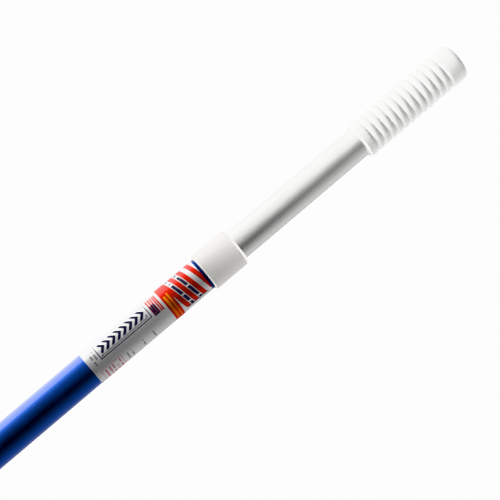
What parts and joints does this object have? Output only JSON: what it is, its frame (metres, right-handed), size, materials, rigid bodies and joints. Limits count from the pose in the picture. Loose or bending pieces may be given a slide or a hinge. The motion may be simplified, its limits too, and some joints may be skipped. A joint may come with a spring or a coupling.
{
  "type": "telescopic pole",
  "caption": "Telescopic aluminium utility pole with a blue outer tube, a silver inner tube, a white collar, a twist lock inside and a ribbed white grip.",
  "frame": {"origin": "centre of the outer tube's open lower end, where a tool plugs in", "axes": "+Z along the pole from the tool end to the grip; +X through the two pairs of spring-button holes; -Y is the printed front of the label, whose seam is at +Y"},
  "size_m": [0.0372, 0.0372, 1.4838],
  "materials": {
    "blue_anodised": "blue anodised, satin",
    "satin_aluminium": "clear anodised, satin",
    "printed_film": "printed silver and red film",
    "white_plastic": "moulded, smooth",
    "white_vinyl": "soft moulded vinyl",
    "grey_nylon": "moulded",
    "natural_nylon": "moulded",
    "black_rubber": "matt",
    "plated_steel": "zinc plated"
  },
  "bodies": {
    "outer_section": {"outer_tube": "blue_anodised", "outer_tube_tool_end": "blue_anodised", "label": "printed_film", "collar": "white_plastic"},
    "lock_ring": {"expander_ring": "natural_nylon", "drag_ring": "black_rubber"},
    "inner_section": {"inner_tube": "satin_aluminium", "grip": "white_vinyl", "cam_plug": "grey_nylon", "plug_pin_1": "plated_steel", "plug_pin_2": "plated_steel", "keeper_washer": "plated_steel", "keeper_screw": "plated_steel"}
  },
  "joints": [
    {"name": "extension", "type": "slide", "parent": "outer_section", "child": "lock_ring", "axis": [0, 0, 1], "range_m": [-0.1423, 0.74]},
    {"name": "twist_lock", "type": "hinge", "parent": "lock_ring", "child": "inner_section", "pos_m": [0, 0, 0.307], "axis": [0, 0, 1], "range_deg": [-60, 60], "deforming": ["expander_ring", "drag_ring"]}
  ]
}
